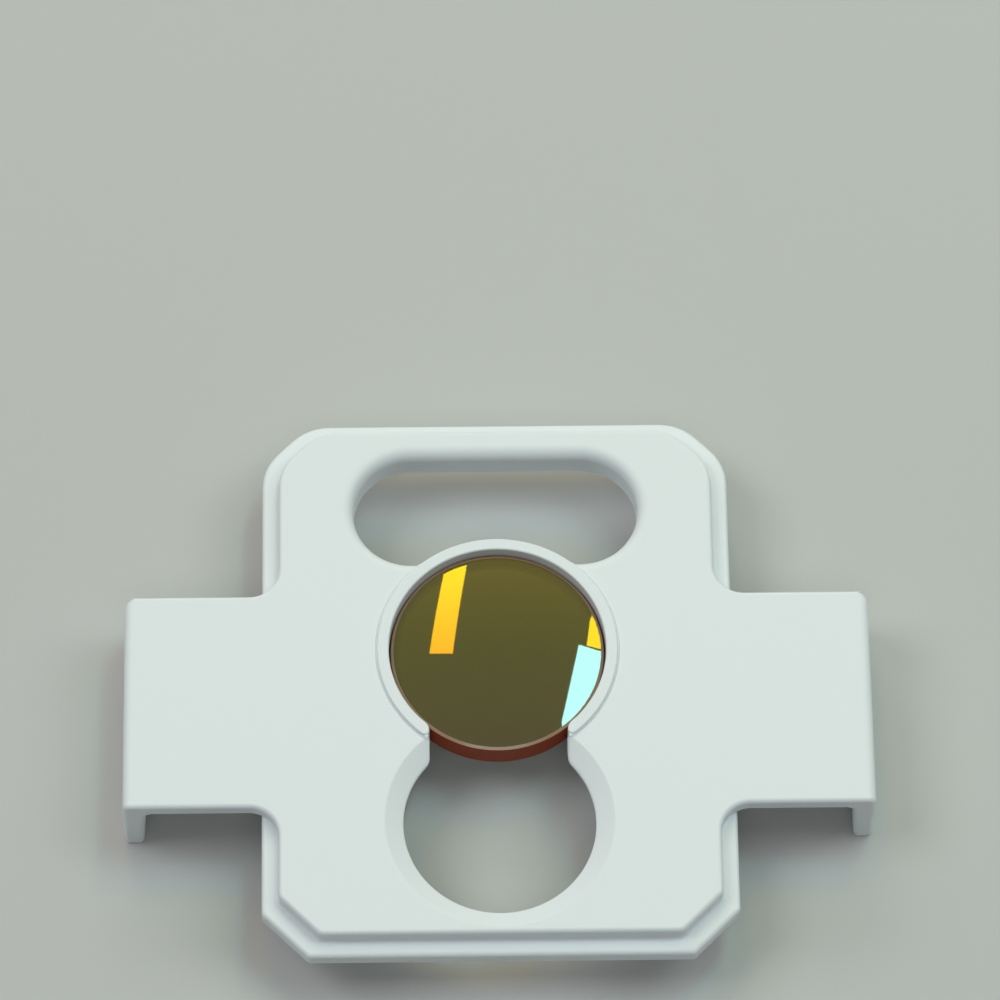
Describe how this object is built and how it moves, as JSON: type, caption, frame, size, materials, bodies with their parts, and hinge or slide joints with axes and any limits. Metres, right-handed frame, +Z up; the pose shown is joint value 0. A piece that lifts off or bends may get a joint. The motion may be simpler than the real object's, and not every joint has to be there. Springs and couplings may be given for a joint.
{
  "type": "clip-on supplementary lens",
  "caption": "White one-piece clip carrier with side tabs holding a small coated lens in an open C-shaped seat, with a rounded slot and a round window beside it.",
  "frame": {"origin": "centre of the bounding box's bottom face, level with the feet of the two clip tabs", "axes": "+Z up, along the optical axis and out of the visible face; +Y from the round window towards the slot; +X across the two clip tabs"},
  "size_m": [0.07, 0.0544, 0.0088],
  "materials": {
    "white_plastic": "satin",
    "coated_glass": "polished, warm anti-reflection coating"
  },
  "bodies": {
    "carrier": {"carrier": "white_plastic"},
    "lens": {"lens": "coated_glass"}
  },
  "joints": [
    {"name": "lens_lift", "type": "slide", "parent": "carrier", "child": "lens", "axis": [0, 0, 1], "range_m": [0, 0.006]}
  ]
}
